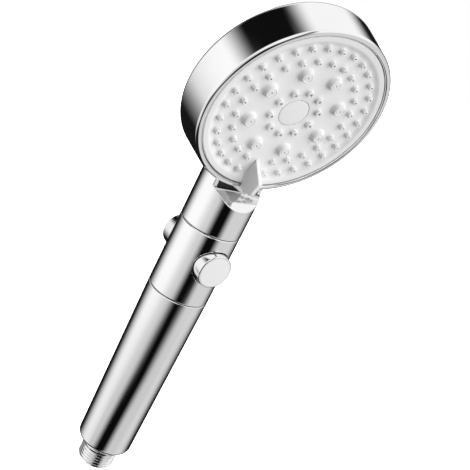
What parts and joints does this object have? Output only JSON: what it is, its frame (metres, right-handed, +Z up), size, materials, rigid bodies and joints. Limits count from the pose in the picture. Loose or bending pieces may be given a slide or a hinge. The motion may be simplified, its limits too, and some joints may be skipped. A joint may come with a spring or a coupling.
{
  "type": "handheld shower head",
  "caption": "Round handheld shower head on a straight chromed handle, with a lever-turned spray disc and a push-through stop valve in the handle.",
  "frame": {"origin": "centre of the hose thread's end face", "axes": "+Z up along the handle towards the head, -Y the side the spray leaves, +X to the right seen from the spray side"},
  "size_m": [0.1062, 0.0565, 0.2943],
  "materials": {
    "chrome": "polished chrome plating on plastic",
    "satin_plastic": "satin light grey",
    "silicone": "soft light grey silicone",
    "acetal": "natural white moulded plastic",
    "rubber": "black nitrile rubber",
    "steel": "stainless steel",
    "brass": "turned brass"
  },
  "bodies": {
    "handle": {"grip_sleeve": "chrome", "inlet_fitting": "chrome", "valve_sleeve": "chrome", "head_shell": "chrome", "inlet_filter": "steel", "distributor_screw_1": "steel", "distributor_screw_2": "steel", "distributor_screw_3": "steel", "port_seal_spring": "steel", "detent_ball": "steel", "detent_spring": "steel", "centre_screw": "steel", "centre_washer": "steel", "flow_regulator": "acetal", "lower_water_tube": "acetal", "valve_body": "acetal", "upper_water_tube": "acetal", "distributor": "acetal", "flow_regulator_o_ring": "rubber", "lower_tube_o_ring_bottom": "rubber", "lower_tube_o_ring_top": "rubber", "upper_tube_o_ring_bottom": "rubber", "upper_tube_o_ring_top": "rubber", "port_seal": "rubber"},
    "spray_disc": {"selector_plate": "acetal", "nozzle_mat": "silicone", "spray_face": "satin_plastic", "selector_lever": "satin_plastic", "centre_cap": "satin_plastic", "massage_nozzle_1": "silicone", "massage_nozzle_2": "silicone", "massage_nozzle_3": "silicone", "massage_nozzle_4": "silicone", "massage_nozzle_5": "silicone", "massage_nozzle_6": "silicone", "massage_nozzle_7": "silicone", "massage_nozzle_8": "silicone"},
    "stop_valve": {"valve_spool": "brass", "spool_o_ring_front": "rubber", "spool_o_ring_rear": "rubber", "button_front": "chrome", "button_rear": "chrome", "button_inlay_front": "satin_plastic", "button_inlay_rear": "satin_plastic", "button_screw_front": "steel", "button_screw_rear": "steel"}
  },
  "joints": [
    {"name": "spray_selector", "type": "hinge", "parent": "handle", "child": "spray_disc", "pos_m": [0, -0.0202, 0.2382], "axis": [0, -0.9673, -0.2538], "range_deg": [-26, 26]},
    {"name": "stop_valve_push", "type": "slide", "parent": "handle", "child": "stop_valve", "axis": [0, 1, 0], "range_m": [-0.0041, 0.0019]}
  ]
}
